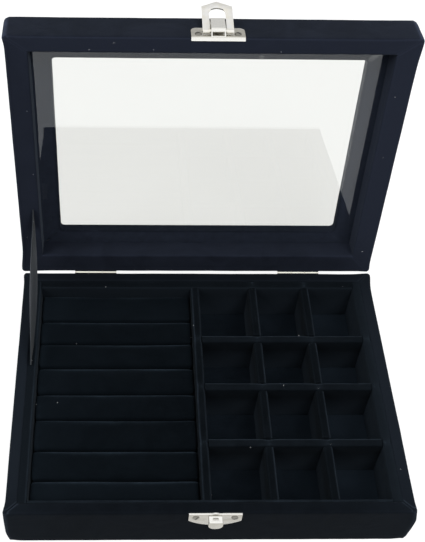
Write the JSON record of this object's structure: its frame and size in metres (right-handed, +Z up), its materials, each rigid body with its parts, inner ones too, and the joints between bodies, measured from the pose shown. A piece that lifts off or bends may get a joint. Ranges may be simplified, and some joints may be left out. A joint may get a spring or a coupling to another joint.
{
  "type": "cufflink display box",
  "caption": "Velvet-covered jewellery display box with padded ring rolls, cufflink compartments, a hinged lid with a glass window, a ribbon stay and a metal hasp clasp.",
  "frame": {"origin": "centre of the base's underside", "axes": "+X along the box's length to the right of someone at the clasp, -Y out of the front where the clasp is, +Z up"},
  "size_m": [0.2, 0.1996, 0.1848],
  "materials": {
    "velvet_cover": "short-pile black velvet",
    "velvet_lining": "black velvet wrapped over thin board",
    "velvet_rolls": "black velvet over soft padding",
    "board": "plain fibreboard, hidden under the velvet",
    "bottom_paper": "matt black paper",
    "clear_glass": "clear polished sheet glass",
    "ribbon": "dark grey woven ribbon",
    "nickel": "bright nickel plate"
  },
  "bodies": {
    "base": {"base_floor_board": "board", "base_floor_lining": "velvet_lining", "base_bottom_sheet": "bottom_paper", "base_front_wall": "board", "base_rear_wall": "board", "base_left_wall": "board", "base_right_wall": "board", "base_velvet_cover": "velvet_cover", "tray_front_lining": "velvet_lining", "tray_rear_lining": "velvet_lining", "tray_left_lining": "velvet_lining", "tray_right_lining": "velvet_lining", "main_divider": "velvet_lining", "column_divider_1": "velvet_lining", "column_divider_2": "velvet_lining", "row_divider_1": "velvet_lining", "row_divider_2": "velvet_lining", "row_divider_3": "velvet_lining", "roll_bed": "velvet_lining", "ring_roll_1": "velvet_rolls", "ring_roll_2": "velvet_rolls", "ring_roll_3": "velvet_rolls", "ring_roll_4": "velvet_rolls", "ring_roll_5": "velvet_rolls", "ring_roll_6": "velvet_rolls", "ring_roll_7": "velvet_rolls", "ring_roll_8": "velvet_rolls", "catch_plate": "nickel", "catch_screws": "nickel", "hinge_left_base_leaf": "nickel", "hinge_right_base_leaf": "nickel", "hinge_left_pin": "nickel", "hinge_right_pin": "nickel", "base_hinge_screws": "nickel", "ribbon_stay": "ribbon"},
    "lid": {"lid_front_wall": "board", "lid_rear_wall": "board", "lid_left_wall": "board", "lid_right_wall": "board", "lid_front_strip": "board", "lid_rear_strip": "board", "lid_left_strip": "board", "lid_right_strip": "board", "lid_window_frame": "board", "lid_velvet_cover": "velvet_cover", "glass_pane": "clear_glass", "hasp_plate": "nickel", "hasp_screws": "nickel", "hinge_left_lid_leaf": "nickel", "hinge_right_lid_leaf": "nickel", "lid_hinge_screws": "nickel"},
    "clasp_flap": {"clasp_flap": "nickel"}
  },
  "joints": [
    {"name": "lid_hinge", "type": "hinge", "parent": "base", "child": "lid", "pos_m": [0, 0.0762, 0.03032], "axis": [1, 0, 0], "range_deg": [0, 97], "deforming": ["ribbon_stay"]},
    {"name": "clasp_hinge", "type": "hinge", "parent": "lid", "child": "clasp_flap", "pos_m": [0.002, 0.09845, 0.18265], "axis": [1, 0, 0], "range_deg": [0, 166]}
  ]
}
